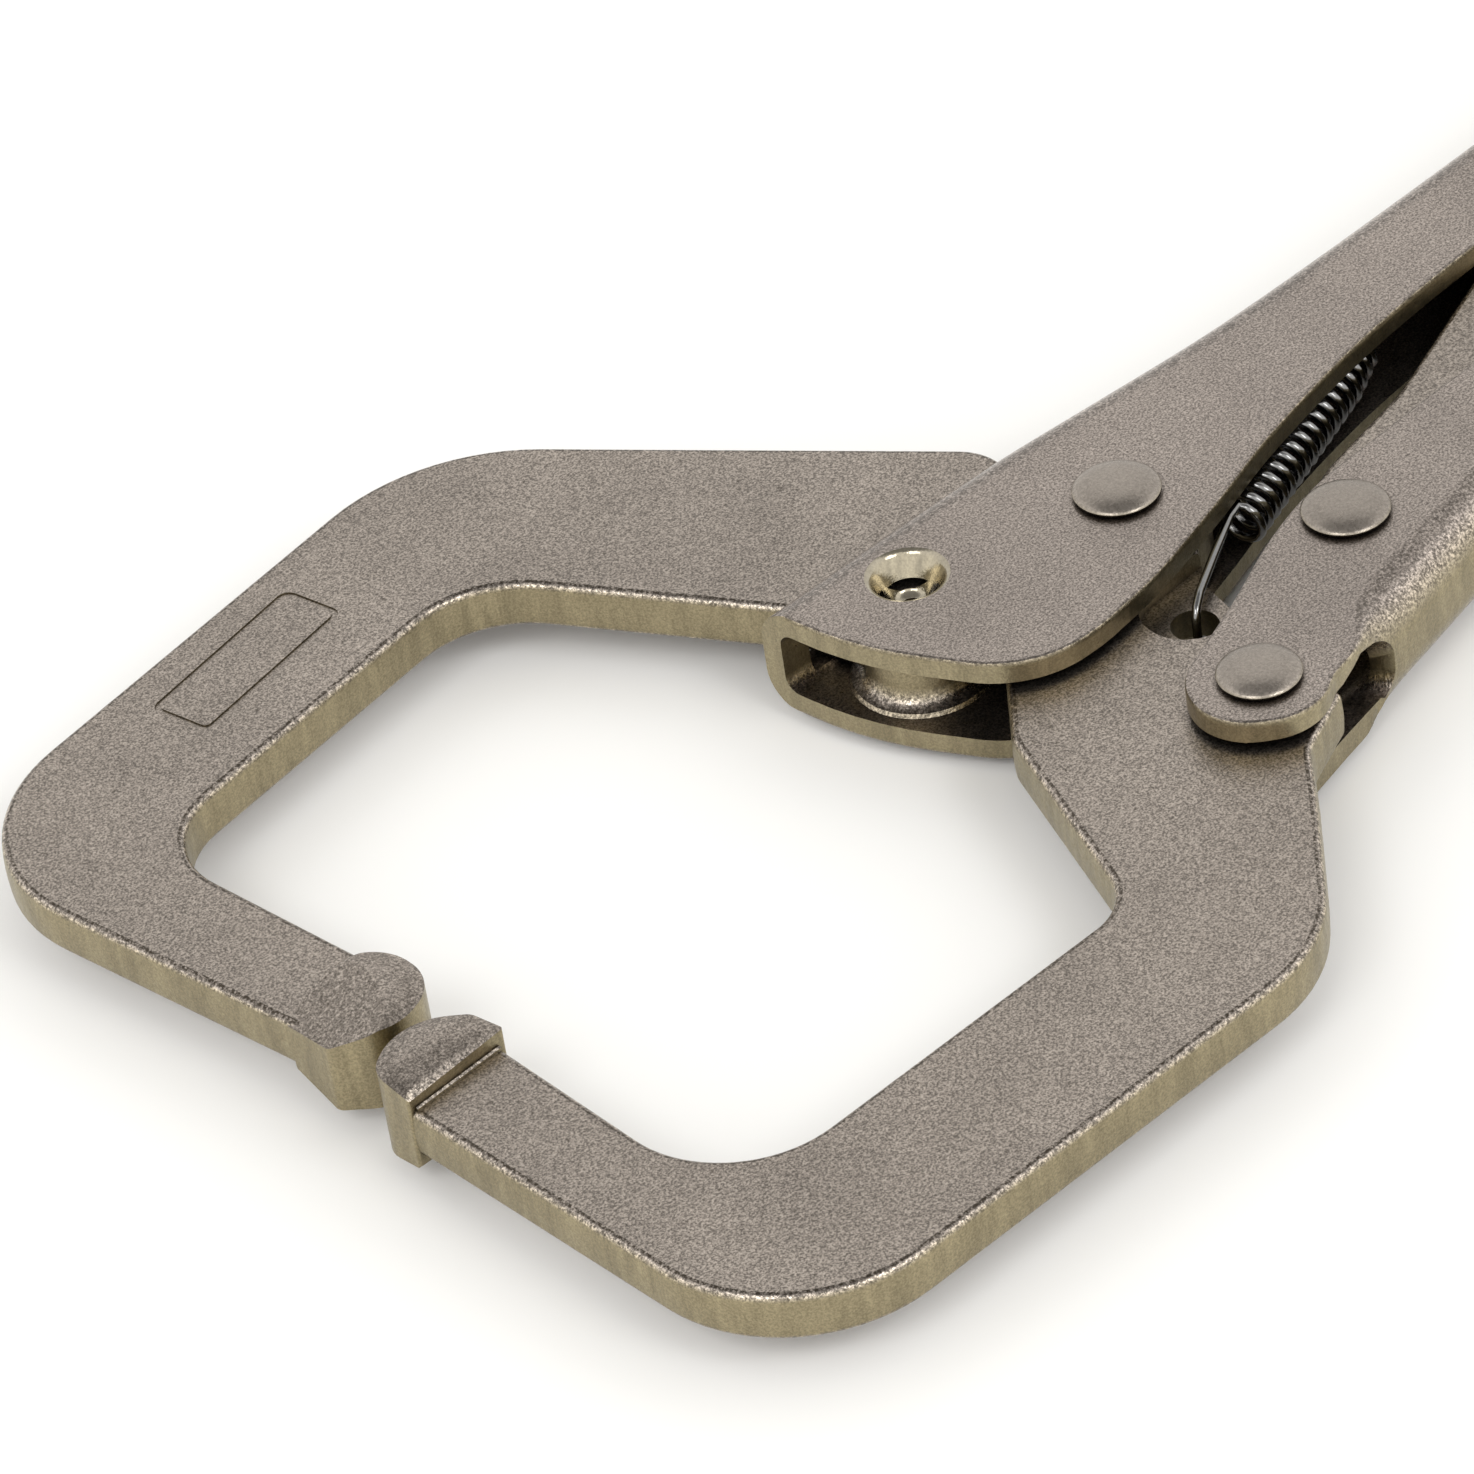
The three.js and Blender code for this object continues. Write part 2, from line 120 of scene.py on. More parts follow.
def rounded(corners, closed=True, arc_step=ARC_STEP):
    """Corners (x, y) or (x, y, radius), each rounded by an arc."""
    points = []
    count = len(corners)
    for index, corner in enumerate(corners):
        here = Vector(corner[:2])
        radius = corner[2] if len(corner) > 2 else 0
        is_end = not closed and index in (0, count - 1)
        if radius == 0 or is_end:
            points.append(here)
            continue
        to_before = (Vector(corners[index - 1][:2]) - here).normalized()
        to_after = (Vector(corners[(index + 1) % count][:2]) - here).normalized()
        half_angle = math.acos(max(-1, min(1, to_before.dot(to_after)))) / 2
        centre = here + (to_before + to_after).normalized() * (radius / math.sin(half_angle))
        tangent = radius / math.tan(half_angle)
        start = here + to_before * tangent - centre
        end = here + to_after * tangent - centre
        sweep = math.atan2(start.x * end.y - start.y * end.x, start.dot(end))
        steps = max(1, math.ceil(abs(sweep) / arc_step))
        first = math.atan2(start.y, start.x)
        for step in range(steps + 1):
            angle = first + sweep * step / steps
            points.append(centre + Vector((math.cos(angle), math.sin(angle))) * radius)
    return points


def smooth(points, steps=6):
    """A smooth curve through a few points."""
    given = [Vector(p) for p in points]
    ends = [given[0] * 2 - given[1]] + given + [given[-1] * 2 - given[-2]]
    curve = []
    for index in range(len(given) - 1):
        p0, p1, p2, p3 = ends[index : index + 4]
        for step in range(steps):
            t = step / steps
            curve.append(
                0.5 * (2 * p1 + (p2 - p0) * t + (2 * p0 - 5 * p1 + 4 * p2 - p3) * t * t
                       + (3 * p1 - p0 - 3 * p2 + p3) * t * t * t)
            )
    curve.append(given[-1])
    return curve


def circle(centre, radius, steps=64):
    """Points around a circle."""
    return [
        Vector((centre[0] + radius * math.cos(a), centre[1] + radius * math.sin(a)))
        for a in (2 * math.pi * i / steps for i in range(steps))
    ]


def area(points):
    """The area inside an outline, below zero when it runs clockwise."""
    total = 0
    for index, p in enumerate(points):
        q = points[(index + 1) % len(points)]
        total += p.x * q.y - p.y * q.x
    return total / 2


def anticlockwise(outline):
    return outline[::-1] if area(outline) < 0 else outline


def inset(points, distances):
    """The outline moved inwards. distances holds one figure for each edge, from point i to the next."""
    count = len(points)
    moved = []
    for index, here in enumerate(points):
        before = (here - points[index - 1]).normalized()
        after = (points[(index + 1) % count] - here).normalized()
        normal_before = Vector((-before.y, before.x))
        normal_after = Vector((-after.y, after.x))
        d_before = distances[index - 1]
        d_after = distances[index]
        cross = before.x * after.y - before.y * after.x
        if abs(cross) > 0.5:
            gap = normal_after * d_after - normal_before * d_before
            t = (gap.x * after.y - gap.y * after.x) / cross
            moved.append(here + normal_before * d_before + before * t)
        else:
            mean = (normal_before + normal_after).normalized()
            reach = (d_before + d_after) / 2 / max(0.5, mean.dot(normal_before))
            moved.append(here + mean * reach)
    return moved


def tilted_box(centre, length, width, lean, radius):
    """A rectangle turned by lean, with rounded corners."""
    along = Vector((math.cos(lean), math.sin(lean)))
    across = Vector((-along.y, along.x))
    corners = []
    for a, b in ((-1, -1), (1, -1), (1, 1), (-1, 1)):
        corner = Vector(centre) + along * (a * length / 2) + across * (b * width / 2)
        corners.append((corner.x, corner.y, radius))
    return rounded(corners, arc_step=math.radians(15))


def eased(value):
    """0 to 1 with a soft start and a soft end."""
    value = max(0.0, min(1.0, value))
    return value * value * (3 - 2 * value)


# ---- meshes ----


def mesh_object(name, verts, faces):
    """A mesh from points in millimetres of the plan, with its faces turned outwards."""
    mesh = bpy.data.meshes.new(name)
    mesh.from_pydata([place(*v) for v in verts], [], faces)
    mesh.validate()
    obj = bpy.data.objects.new(name, mesh)
    bpy.context.scene.collection.objects.link(obj)
    work = bmesh.new()
    work.from_mesh(mesh)
    bmesh.ops.recalc_face_normals(work, faces=work.faces)
    work.to_mesh(mesh)
    work.free()
    mesh.polygons.foreach_set("use_smooth", [True] * len(mesh.polygons))
    return obj


def loft(name, rings):
    """A closed solid from rings of equally many (x, y, z) points, with a cap at each end."""
    count = len(rings[0])
    verts = [vert for ring in rings for vert in ring]
    faces = []
    for ring in range(len(rings) - 1):
        for index in range(count):
            a = ring * count + index
            b = ring * count + (index + 1) % count
            faces.append((a, b, b + count, a + count))
    last = (len(rings) - 1) * count
    faces.append(tuple(reversed(range(count))))
    faces.append(tuple(range(last, last + count)))
    return mesh_object(name, verts, faces)


def stack(name, rings):
    """A closed solid from (points, z) rings of equal count."""
    return loft(name, [[(p.x, p.y, z) for p in points] for points, z in rings])


def edge_profile(half, bevel, draft):
    """(inset, z) pairs from the middle plane up to the flat face, with a rounded edge."""
    pairs = [(0.0, 0.0), (draft * 0.5, (half - bevel) * 0.6), (draft, half - bevel)]
    for step in range(1, 7):
        angle = math.radians(15 * step)
        pairs.append((draft + bevel * (1 - math.cos(angle)), half - bevel + bevel * math.sin(angle)))
    return pairs


def both_halves(upper):
    """The pairs of an upper half that starts on the middle plane, and their mirror image below it."""
    return [(d, -z) for d, z in reversed(upper)] + upper[1:]


def plate(name, outline, profile):
    """A flat forging or plate from a plan outline and an edge profile."""
    outline = anticlockwise(outline)
    return stack(name, [(inset(outline, [d] * len(outline)), z) for d, z in profile])


def simple_plate(name, outline, z_low, z_high):
    """A plate with straight sides."""
    outline = anticlockwise(outline)
    return stack(name, [(outline, z_low), (outline, z_high)])


def disc(name, centre, radius, z_low, z_high):
    return simple_plate(name, circle(centre, radius), z_low, z_high)


def skin(rows):
    """Faces between rows of equally many point numbers. A row on the axis repeats one number."""
    steps = len(rows[0])
    faces = []
    for lower, upper in zip(rows, rows[1:]):
        for step in range(steps):
            after = (step + 1) % steps
            face = []
            for index in (lower[step], lower[after], upper[after], upper[step]):
                if index not in face:
                    face.append(index)
            faces.append(tuple(face))
    return faces


def turned(name, profile, centre=(0, 0), steps=64, to_world=None):
    """A solid of revolution from (radius, height) pairs, both ends on the axis."""
    verts = []
    rows = []
    for radius, height in profile:
        if radius < 1e-6:
            verts.append((0, 0, height))
            rows.append([len(verts) - 1] * steps)
            continue
        row = []
        for step in range(steps):
            angle = 2 * math.pi * step / steps
            verts.append((radius * math.cos(angle), radius * math.sin(angle), height))
            row.append(len(verts) - 1)
        rows.append(row)
    if to_world is None:
        verts = [(x + centre[0], y + centre[1], z) for x, y, z in verts]
    else:
        verts = [to_world(x, y, z) for x, y, z in verts]
    return mesh_object(name, verts, skin(rows))


def on_screw(x, y, distance):
    """A point given across and along the adjusting screw."""
    along = Vector((math.cos(SCREW_LEAN), math.sin(SCREW_LEAN)))
    side = Vector((-along.y, along.x))
    point = Vector(SCREW_FRONT) + along * distance + side * x
    return (point.x, point.y, y)


def tube(name, path, radius, sides=10):
    """A closed round bar along a path of points."""
    rings = []
    up = Vector((0.13, -0.21, 0.97)).normalized()
    for index, point in enumerate(path):
        ahead = path[min(index + 1, len(path) - 1)]
        behind = path[max(index - 1, 0)]
        along = (ahead - behind).normalized()
        across = up.cross(along).normalized()
        up = along.cross(across).normalized()
        ring = []
        for side in range(sides):
            angle = 2 * math.pi * side / sides
            offset = across * math.cos(angle) + up * math.sin(angle)
            ring.append(tuple(point + offset * radius))
        rings.append(ring)
    return loft(name, rings)


def frame_ring(name, outline, width, z_low, z_high):
    """A closed band that follows an outline."""
    outline = anticlockwise(outline)
    inner = inset(outline, [width] * len(outline))
    count = len(outline)
    verts = []
    for points, z in ((outline, z_low), (outline, z_high), (inner, z_high), (inner, z_low)):
        verts += [(p.x, p.y, z) for p in points]
    faces = []
    for ring in range(4):
        here = ring * count
        beyond = (ring + 1) % 4 * count
        for index in range(count):
            after = (index + 1) % count
            faces.append((here + index, here + after, beyond + after, beyond + index))
    return mesh_object(name, verts, faces)


def combine(target, cutter, operation="DIFFERENCE"):
    """Cuts or joins target with cutter, and deletes the cutter."""
    modifier = target.modifiers.new("combine", "BOOLEAN")
    modifier.operation = operation
    modifier.solver = "EXACT"
    modifier.material_mode = "TRANSFER"
    modifier.object = cutter
    bpy.context.view_layer.update()
    graph = bpy.context.evaluated_depsgraph_get()
    result = bpy.data.meshes.new_from_object(target.evaluated_get(graph))
    target.modifiers.clear()
    target.data = result
    bpy.data.objects.remove(cutter)


def drill(target, centre, radius=RIVET_HOLE):
    """A round hole right through a piece."""
    combine(target, disc("hole", centre, radius, -THROUGH, THROUGH))


def clean(obj, sharp_degrees):
    """Welds stray points, keeps flat faces flat and smooths the rounded ones."""
    work = bmesh.new()
    work.from_mesh(obj.data)
    bmesh.ops.remove_doubles(work, verts=work.verts, dist=1e-6)
    bmesh.ops.dissolve_degenerate(work, edges=work.edges, dist=1e-6)
    bmesh.ops.recalc_face_normals(work, faces=work.faces)
    limit = math.radians(sharp_degrees)
    for edge in work.edges:
        edge.smooth = len(edge.link_faces) == 2 and edge.calc_face_angle(0) < limit
    for face in work.faces:
        face.smooth = abs(face.normal.z) < 0.9999
    work.to_mesh(obj.data)
    work.free()


# ---- materials ----


# Noise scales, per metre.
FINE_SCALE = 7000
SPECK_SCALE = 4200
PIT_SCALE = 2300
STREAK_SCALE = 1100
BLOTCH_SCALE = 90
STREAK_STRETCH = 7
BUMP_HEIGHT = 0.00004
CREVICE_REACH = 0.0009


class Graph:
    """Short ways to add nodes to one node tree."""

    def __init__(self, tree):
        self.nodes = tree.nodes
        self.links = tree.links

    def join(self, value, socket):
        """Links an output to a socket, or sets a number or a colour on it."""
        if isinstance(value, bpy.types.NodeSocket):
            self.links.new(value, socket)
        elif isinstance(value, tuple):
            socket.default_value = (*value, 1)
        else:
            socket.default_value = value

    def noise(self, coords, scale, detail, roughness, stretch=1.0):
        node = self.nodes.new("ShaderNodeTexNoise")
        node.inputs["Scale"].default_value = scale
        node.inputs["Detail"].default_value = detail
        node.inputs["Roughness"].default_value = roughness
        spread = self.nodes.new("ShaderNodeMapping")
        spread.inputs["Scale"].default_value = (1, 1, 1 / stretch)
        self.join(coords, spread.inputs["Vector"])
        self.join(spread.outputs["Vector"], node.inputs["Vector"])
        return node.outputs["Fac"]

    def remap(self, value, low_in, high_in, low_out, high_out, interpolation="LINEAR"):
        node = self.nodes.new("ShaderNodeMapRange")
        node.interpolation_type = interpolation
        node.inputs["From Min"].default_value = low_in
        node.inputs["From Max"].default_value = high_in
        node.inputs["To Min"].default_value = low_out
        node.inputs["To Max"].default_value = high_out
        self.join(value, node.inputs["Value"])
        return node.outputs["Result"]

    def math(self, operation, *values):
        node = self.nodes.new("ShaderNodeMath")
        node.operation = operation
        for value, socket in zip(values, node.inputs):
            self.join(value, socket)
        return node.outputs["Value"]

    def height_of(self, direction):
        node = self.nodes.new("ShaderNodeSeparateXYZ")
        self.join(direction, node.inputs["Vector"])
        return node.outputs["Z"]

    def mixed(self, factor, first, second, blend="MIX"):
        node = self.nodes.new("ShaderNodeMix")
        node.data_type = "RGBA"
        node.blend_type = blend
        self.join(factor, node.inputs["Factor"])
        self.join(first, node.inputs["A"])
        self.join(second, node.inputs["B"])
        return node.outputs["Result"]

    def multiplied(self, colour, value):
        return self.mixed(1.0, colour, value, "MULTIPLY")


def plate_tone(graph, coords, flat, light, wall_reflection_tint, streak):
    """Slow blotches on the flats, and on the walls a warmer olive tone with upright streaks, a painted
    reflection of the pale floor.
    """
    blotches = graph.remap(graph.noise(coords, BLOTCH_SCALE, 3, 0.6), 0.35, 0.65, 0, 1)
    top = graph.mixed(blotches, light, tuple(c * 0.85 for c in light))
    streaks = graph.noise(coords, STREAK_SCALE, 3, 0.6, STREAK_STRETCH)
    side = graph.multiplied(wall_reflection_tint, graph.remap(streaks, 0.35, 0.65, 1 - 0.15 * streak, 1 + 0.13 * streak))
    return graph.mixed(graph.remap(flat, 0.15, 0.85, 1, 0), top, side)


def with_grain(graph, base, fine, specks, flat, grain):
    """Fine dark and light grain, weaker on the walls."""
    grainy = graph.multiplied(base, graph.remap(fine, 0.38, 0.62, 1 - 0.6 * grain, 1 + 0.6 * grain))
    grainy = graph.multiplied(grainy, graph.remap(specks, 0.36, 0.64, 1 - 0.2 * grain, 1 + 0.2 * grain))
    return graph.mixed(graph.remap(flat, 0.1, 0.6, 0.35, 1), base, grainy)


def with_pits_and_shade(graph, base, dark, pits, flat, grain, crevice_shade):
    """Dark pits, and painted shade in the crevices, drawn from ambient occlusion."""
    pitted = graph.math(
        "MULTIPLY", graph.remap(pits, 0.38, 0.26, 0, 0.75 * grain), graph.remap(flat, 0.1, 0.6, 0.3, 1)
    )
    base = graph.mixed(pitted, base, dark)
    # Painted shade: darkens the colour where ambient occlusion finds a crevice, around rivet heads, ears and
    # pockets.
    crevice = graph.nodes.new("ShaderNodeAmbientOcclusion")
    crevice.samples = 6
    crevice.inputs["Distance"].default_value = CREVICE_REACH
    return graph.mixed(graph.remap(crevice.outputs["AO"], 0.8, 0.35, 0, crevice_shade), base, dark)


def metal(name, light, dark, wall_reflection_tint, roughness, grain=1.0, bump=1.0, crevice_shade=0.75, dark_edge_strength=0.9, streak=1.0):
    """Satin plated steel: fine grain, worn bends brightened by a painted highlight, painted dark reflections
    along the edges of flats, and painted shade in the crevices.
    """
    material = bpy.data.materials.new(name)
    material.use_nodes = True
    graph = Graph(material.node_tree)
    graph.nodes.clear()
    output = graph.nodes.new("ShaderNodeOutputMaterial")
    shader = graph.nodes.new("ShaderNodeBsdfPrincipled")
    shader.inputs["Metallic"].default_value = 1.0
    graph.join(shader.outputs["BSDF"], output.inputs["Surface"])

    coords = graph.nodes.new("ShaderNodeTexCoord").outputs["Object"]
    fine = graph.noise(coords, FINE_SCALE, 2, 0.7)
    specks = graph.noise(coords, SPECK_SCALE, 2, 0.7)
    pits = graph.noise(coords, PIT_SCALE, 3, 0.7)
    normal = graph.nodes.new("ShaderNodeNewGeometry").outputs["Normal"]
    flat = graph.math("ABSOLUTE", graph.height_of(normal))

    base = plate_tone(graph, coords, flat, light, wall_reflection_tint, streak)
    base = with_grain(graph, base, fine, specks, flat, grain)
    # Rounded edges and bends get bright specks: partly real wear, partly a painted highlight.
    wear_and_highlight = graph.math(
        "MULTIPLY", graph.remap(flat, 0.93, 0.82, 0, 1), graph.remap(flat, 0.25, 0.5, 0, 0.9 * grain)
    )
    base = graph.mixed(wear_and_highlight, base, graph.multiplied(base, graph.remap(specks, 0.42, 0.58, 0.6, 1.75)))
    # Painted dark reflection: a dark speckled band on the gently tilted faces beside flats and along bends.
    dark_edge_reflection = graph.math("MULTIPLY", graph.remap(flat, 0.999, 0.985, 0, 1), graph.remap(flat, 0.86, 0.94, 0, 1))
    dark_edge_reflection = graph.math("MULTIPLY", dark_edge_reflection, graph.remap(specks, 0.6, 0.44, 0.1 * dark_edge_strength, dark_edge_strength))
    base = graph.mixed(dark_edge_reflection, base, dark)
    base = with_pits_and_shade(graph, base, dark, pits, flat, grain, crevice_shade)
    graph.join(base, shader.inputs["Base Color"])

    rough = graph.remap(pits, 0.3, 0.7, roughness + 0.06, roughness - 0.06)
    graph.join(graph.math("MULTIPLY_ADD", wear_and_highlight, -0.3 * roughness, rough), shader.inputs["Roughness"])
    bump_node = graph.nodes.new("ShaderNodeBump")
    bump_node.inputs["Strength"].default_value = 0.5 * bump
    bump_node.inputs["Distance"].default_value = BUMP_HEIGHT
    graph.join(graph.math("ADD", fine, pits), bump_node.inputs["Height"])
    graph.join(bump_node.outputs["Normal"], shader.inputs["Normal"])
    return material


# Tones: the flats' colour, the dark colour, and the walls' olive colour, which paints the floor's reflection.
FORGED_TONES = ((0.32, 0.282, 0.248), (0.05, 0.040, 0.030), (0.30, 0.255, 0.160))
FORGED = metal("forged_plate", *FORGED_TONES, roughness=0.36, grain=0.8)
TIP_METAL = metal("tip_plate", *FORGED_TONES, roughness=0.36, grain=0.8, dark_edge_strength=0.35)
PRESSED = metal(
    "pressed_plate", (0.325, 0.285, 0.256), (0.05, 0.042, 0.033), (0.31, 0.265, 0.168),
    roughness=0.33, grain=0.75, dark_edge_strength=0.5,
)
RIVET_METAL = metal(
    "rivet_plate", (0.325, 0.29, 0.256), (0.07, 0.06, 0.05), (0.28, 0.245, 0.165),
    roughness=0.3, grain=0.2, bump=0.5, dark_edge_strength=0.12,
)
SCREW_METAL = metal(
    "screw_plate", (0.33, 0.30, 0.265), (0.07, 0.06, 0.05), (0.31, 0.28, 0.21),
    roughness=0.32, grain=0.5, bump=0.5, dark_edge_strength=0.2,
)
POLISHED = metal(
    "polished_plate", (0.42, 0.38, 0.30), (0.07, 0.055, 0.04), (0.40, 0.355, 0.25),
    roughness=0.12, grain=0.1, bump=0.4, dark_edge_strength=0.1, streak=3.2,
)
SPRING_METAL = metal(
    "spring_wire", (0.24, 0.24, 0.24), (0.05, 0.05, 0.05), (0.24, 0.24, 0.24),
    roughness=0.12, grain=0.1, bump=0.2, crevice_shade=0.0, dark_edge_strength=0.0, streak=0.3,
)


def finish_piece(obj, material, body, node, sharp_degrees=32):
    """Cleans a piece, gives it its material unless it has two already, hides the CAD part it stands for and
    hangs it under its body's empty.
    """
    clean(obj, sharp_degrees)
    if len(obj.data.materials) < 2:
        obj.data.materials.clear()
        obj.data.materials.append(material)
    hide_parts(node)
    if body:
        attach(obj, body)


# ---- what both jaws share ----

TIP_SHARES = (1.0, 0.985, 0.95, 0.9, 0.83, 0.74, 0.63, 0.5, 0.35, 0.18)
TIP_RIM_DROP = 0.14
forged_edge = both_halves(edge_profile(ARM_HALF, 0.5, 0.06))


def crowned(name, outline, summit, height_at, depth_at):
    """A clamping tip: straight sides, and a crowned top and bottom that draw in towards a summit."""
    outline = anticlockwise(outline)
    top = Vector(summit)
    halves = []
    for reach_at in (height_at, depth_at):
        half = [[(p.x, p.y, reach_at(p, 1.0) - TIP_RIM_DROP) for p in outline]]
        for share in TIP_SHARES:
            drawn_in = [top + (p - top) * share for p in outline]
            half.append([(p.x, p.y, reach_at(p, share)) for p in drawn_in])
        halves.append(half)
    upper, lower = halves
    lower = [[(x, y, -z) for x, y, z in ring] for ring in reversed(lower)]
    tip = loft(name, lower + upper)
    tip.data.materials.append(TIP_METAL)
    return tip


# ---- fixed jaw ----

fixed_arm = rounded([
    (-63.1, 0), (-67.7, 32.4, 11), (-23.2, 39.7, 14), (-0.9, 11.4, 4), (-0.9, 5.4), (-8.5, 5.4, 3),
    (-11.5, -0.4, 3), (-17.6, -0.4, 3), (-18.1, 6.8, 2), (-29.9, 26.6, 7),
    (-58.7, 22.1, 5.7), (-56.3, 0),
])
fixed_tip_outline = rounded([
    (-63.5, 3.6, 0.5), (-63.6, -0.5, 0.7), (-60.8, -3.3, 3.5), (-56.2, -1.8, 3.2), (-56.2, 4.9, 3.4),
])


def fixed_tip_crown(point, share, rise_start, rise_length):
    """Rises out of the arm to full height towards the free end, and domes up to its summit."""
    base = ARM_HALF - 0.1
    rim = base + (TIP_HALF - 0.4 - base) * eased((rise_start - point.y) / rise_length)
    return rim + (TIP_HALF - rim) * (1 - share**2.5)


def fixed_tip_height(point, share):
    """The top of the tip, with a ground facet that slopes down to the outer side of the arm."""
    facet = ARM_HALF + (point.x + 62.4) * 0.32 - (point.y - 4.2) * 0.125
    return min(fixed_tip_crown(point, share, 5.3, 1.8), facet)


def fixed_tip_depth(point, share):
    """The underside of the tip, which rises out of the arm more slowly."""
    return fixed_tip_crown(point, share, 4.2, 3.2)


def swage_cutter():
    """The punched funnel that goes through the sheet and into the collar below it."""
    cutter = turned("swage", SWAGE_CONE, SWAGE)
    cutter.data.materials.append(POLISHED)
    return cutter


fixed_jaw = plate("fixed_jaw_forging", fixed_arm, forged_edge)
fixed_jaw.data.materials.append(FORGED)
fixed_tip = crowned("fixed_tip", fixed_tip_outline, (-59.6, 0.6), fixed_tip_height, fixed_tip_depth)
combine(fixed_jaw, fixed_tip, "UNION")
panel = tilted_box((-43.8, 31.2), 13.1, 4.65, math.radians(11.2), 0.8)
combine(fixed_jaw, frame_ring("panel", panel, 0.42, ARM_HALF - 0.1, ARM_HALF + 1))
collar = [
    (0, -2.19), (4.5, -2.19), (4.35, -1.95), (3.85, -1.75), (3.5, -1.4), (3.35, -0.8), (3.3, 2.19), (0, 2.19),
]
combine(fixed_jaw, turned("collar", collar, (-15.2, 1.9)), "UNION")
combine(fixed_jaw, swage_cutter())
finish_piece(fixed_jaw, FORGED, "fixed_handle", "fixed_jaw")

# ---- moving jaw ----

STEP_LINE = ((-63.45, -8.22), (-56.9, -7.88))
STEP_FILLET = 0.2
moving_arm = rounded([
    (-63.9, -6), (-62.8, -39.2, 10.5), (-19.9, -38.0, 11), (-11.0, -28.0, 5), (-8.3, -24.8, 3),
    (-3.6, -22.7, 0.6), (-1.9, -14), (-0.6, -7.9), (2, -4.6), (3.6, 3.0, 3), (-4, 3.6, 3),
    (-15, -5.6, 2), (-19.2, -10.6, 3), (-25.0, -26.4, 4), (-56.7, -27.4, 7.5), (-56.7, -6),
])
moving_tip_outline = rounded([
    (-63.9, -8.2, 0.2), (-56.3, -7.8, 0.2), (-56.9, -5.6, 1.2), (-60.1, -2.7, 4), (-63.9, -5.1, 2),
])
hole_x, hole_y = SPRING_HOLE
pocket_round = POCKET_RADIUS - 0.05
pocket_outline = rounded([
    (hole_x - POCKET_RADIUS, hole_y - POCKET_RADIUS, pocket_round),
    (hole_x + 8, hole_y - POCKET_RADIUS + 1),
    (hole_x + 8, hole_y + POCKET_RADIUS + 1),
    (hole_x - POCKET_RADIUS, hole_y + POCKET_RADIUS, pocket_round),
])


def moving_tip_height(point, share):
    """Full height at the clamping end, falling away to the step over the arm."""
    crown = TIP_HALF - 0.3 * share**3 - 0.2 * eased((-5.4 - point.y) / 2.2)
    ground_edge = TIP_HALF - 0.8 + (point.y + 8.2) * 0.9
    return min(crown, ground_edge)


moving_jaw = plate("moving_jaw_forging", moving_arm, forged_edge)
moving_jaw.data.materials.append(FORGED)
combine(moving_jaw, disc("eye", JAW_PIVOT, 5.5, -BOSS_HALF, BOSS_HALF), "UNION")
combine(moving_jaw, simple_plate("pocket", pocket_outline, ARM_HALF - POCKET_DEPTH, ARM_HALF + 1))
moving_tip = crowned("moving_tip", moving_tip_outline, (-60.0, -6.0), moving_tip_height, moving_tip_height)
combine(moving_jaw, moving_tip, "UNION")
for side in (-1, 1):
    foot = [Vector((*end, side * (ARM_HALF + 0.02))) for end in STEP_LINE]
    combine(moving_jaw, tube("step_foot", foot, STEP_FILLET, 8), "UNION")
drill(moving_jaw, SPRING_HOLE, SPRING_HOLE_RADIUS)
drill(moving_jaw, JAW_PIVOT)
drill(moving_jaw, LEVER_PIVOT)
finish_piece(moving_jaw, FORGED, "moving_jaw", "moving_jaw")

# ---- channels of both handles ----

CUT_EDGE_RADIUS = 0.22


def bent_outline(web, rest, fade=None):
    """The whole outline, anticlockwise, and how much each of its edges takes part in the bend."""
    outline = web + rest
    web_edges = len(web) - 1
    weights = [1.0] * web_edges + [0.0] * (len(outline) - web_edges)
    if fade:
        weights = [weight * fade(point) for weight, point in zip(weights, outline)]
    if area(outline) < 0:
        outline = outline[::-1]
        weights = weights[::-1]
        weights = weights[1:] + weights[:1]
    return outline, weights


def mirrored(rings):
    """Rings of an upper half, with their mirror image below the middle plane."""
    return [(points, -z) for points, z in reversed(rings)] + rings


def channel(name, web, rest, bend, fade=None):
    """The outside of a pressed channel. web is bent along its edge, rest is the cut sheet's edge."""
    outline, weights = bent_outline(web, rest, fade)
    rings = []
    for step in range(9):
        angle = math.radians(90 * step / 8)
        height = CHANNEL_HALF - bend + bend * math.sin(angle)
        bend_inset = bend * (1 - math.cos(angle))
        over = max(0.0, height - (CHANNEL_HALF - CUT_EDGE_RADIUS))
        cut_inset = CUT_EDGE_RADIUS - math.sqrt(max(0.0, CUT_EDGE_RADIUS**2 - over**2))
        insets = [weight * bend_inset + (1 - weight) * cut_inset for weight in weights]
        rings.append((inset(outline, insets), height))
    return stack(name, mirrored(rings))


def channel_cavity(name, web, far_points, bend):
    """The space inside a channel: the web moved in by the sheet, with rounded inner corners."""
    outline, weights = bent_outline(web, far_points)
    radius = bend - SHEET
    rings = []
    for step in range(7):
        angle = math.radians(90 * step / 6)
        height = CHANNEL_INNER_HALF - radius + radius * math.sin(angle)
        depth = SHEET + radius * (1 - math.cos(angle))
        rings.append((inset(outline, [weight * depth for weight in weights]), height))
    return stack(name, mirrored(rings))


# ---- fixed handle ----

